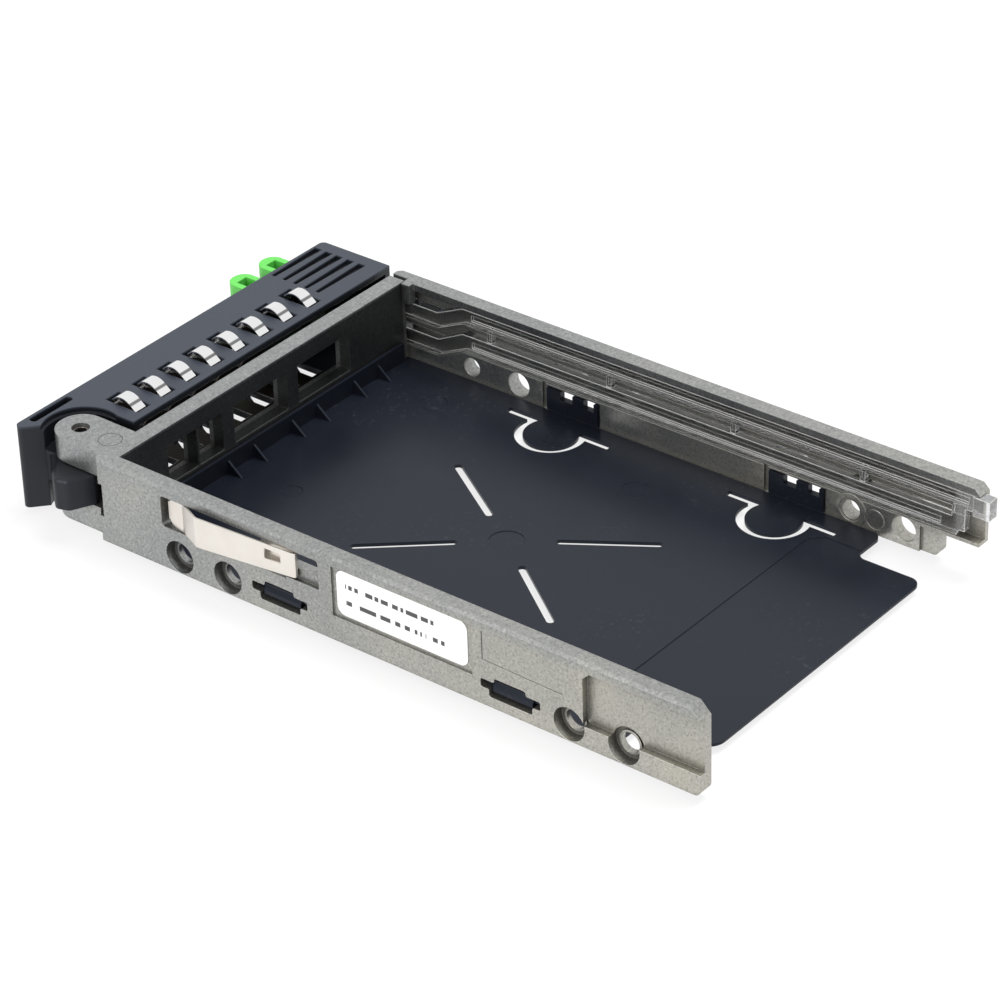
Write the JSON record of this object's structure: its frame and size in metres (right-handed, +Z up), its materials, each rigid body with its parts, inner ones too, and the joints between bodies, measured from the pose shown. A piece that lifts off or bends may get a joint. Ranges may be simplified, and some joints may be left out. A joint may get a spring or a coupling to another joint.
{
  "type": "hot swap drive caddy",
  "caption": "Hot swap drive caddy for a 2.5 inch drive: cast frame with a thin floor, swinging front lever with spring fingers, pinch tongues, side leaf spring and light pipe.",
  "frame": {"origin": "mid-plane between the rails, at the rails' front edge, level with their underside", "axes": "+X to the hinge side rail, +Y to the open rear, +Z up"},
  "size_m": [0.0782, 0.1439, 0.0174],
  "materials": {
    "casting": "as cast, tumbled",
    "pin_steel": "plain",
    "label_paper": "blank label",
    "clear_moulding": "clear moulding",
    "spring_steel": "rolled strip",
    "tray_plastic": "semi-gloss moulded",
    "lever_plastic": "fine texture",
    "shield_steel": "bright rolled",
    "tongue_plastic": "satin moulded"
  },
  "bodies": {
    "frame_body": {"frame": "casting", "hinge_pin": "pin_steel", "label": "label_paper", "light_pipe": "clear_moulding", "side_leaf_spring": "spring_steel", "tray": "tray_plastic"},
    "lever_body": {"lever": "lever_plastic", "emi_shield": "shield_steel", "latch_spring": "spring_steel"},
    "tongue_a_body": {"release_tongue_a": "tongue_plastic"},
    "tongue_b_body": {"release_tongue_b": "tongue_plastic"}
  },
  "joints": [
    {"name": "lever_swing", "type": "hinge", "parent": "frame_body", "child": "lever_body", "pos_m": [0.03205, -0.00865, 0.0075], "axis": [0, 0, 1], "range_deg": [0, 90]},
    {"name": "tongue_a_press", "type": "slide", "parent": "lever_body", "child": "tongue_a_body", "axis": [-1, 0, 0], "range_m": [0, 0.0012], "stiffness_N_per_m": 1500, "deforming": ["latch_spring"]},
    {"name": "tongue_b_press", "type": "slide", "parent": "lever_body", "child": "tongue_b_body", "axis": [1, 0, 0], "range_m": [0, 0.0012], "stiffness_N_per_m": 1500, "deforming": ["latch_spring"]}
  ]
}
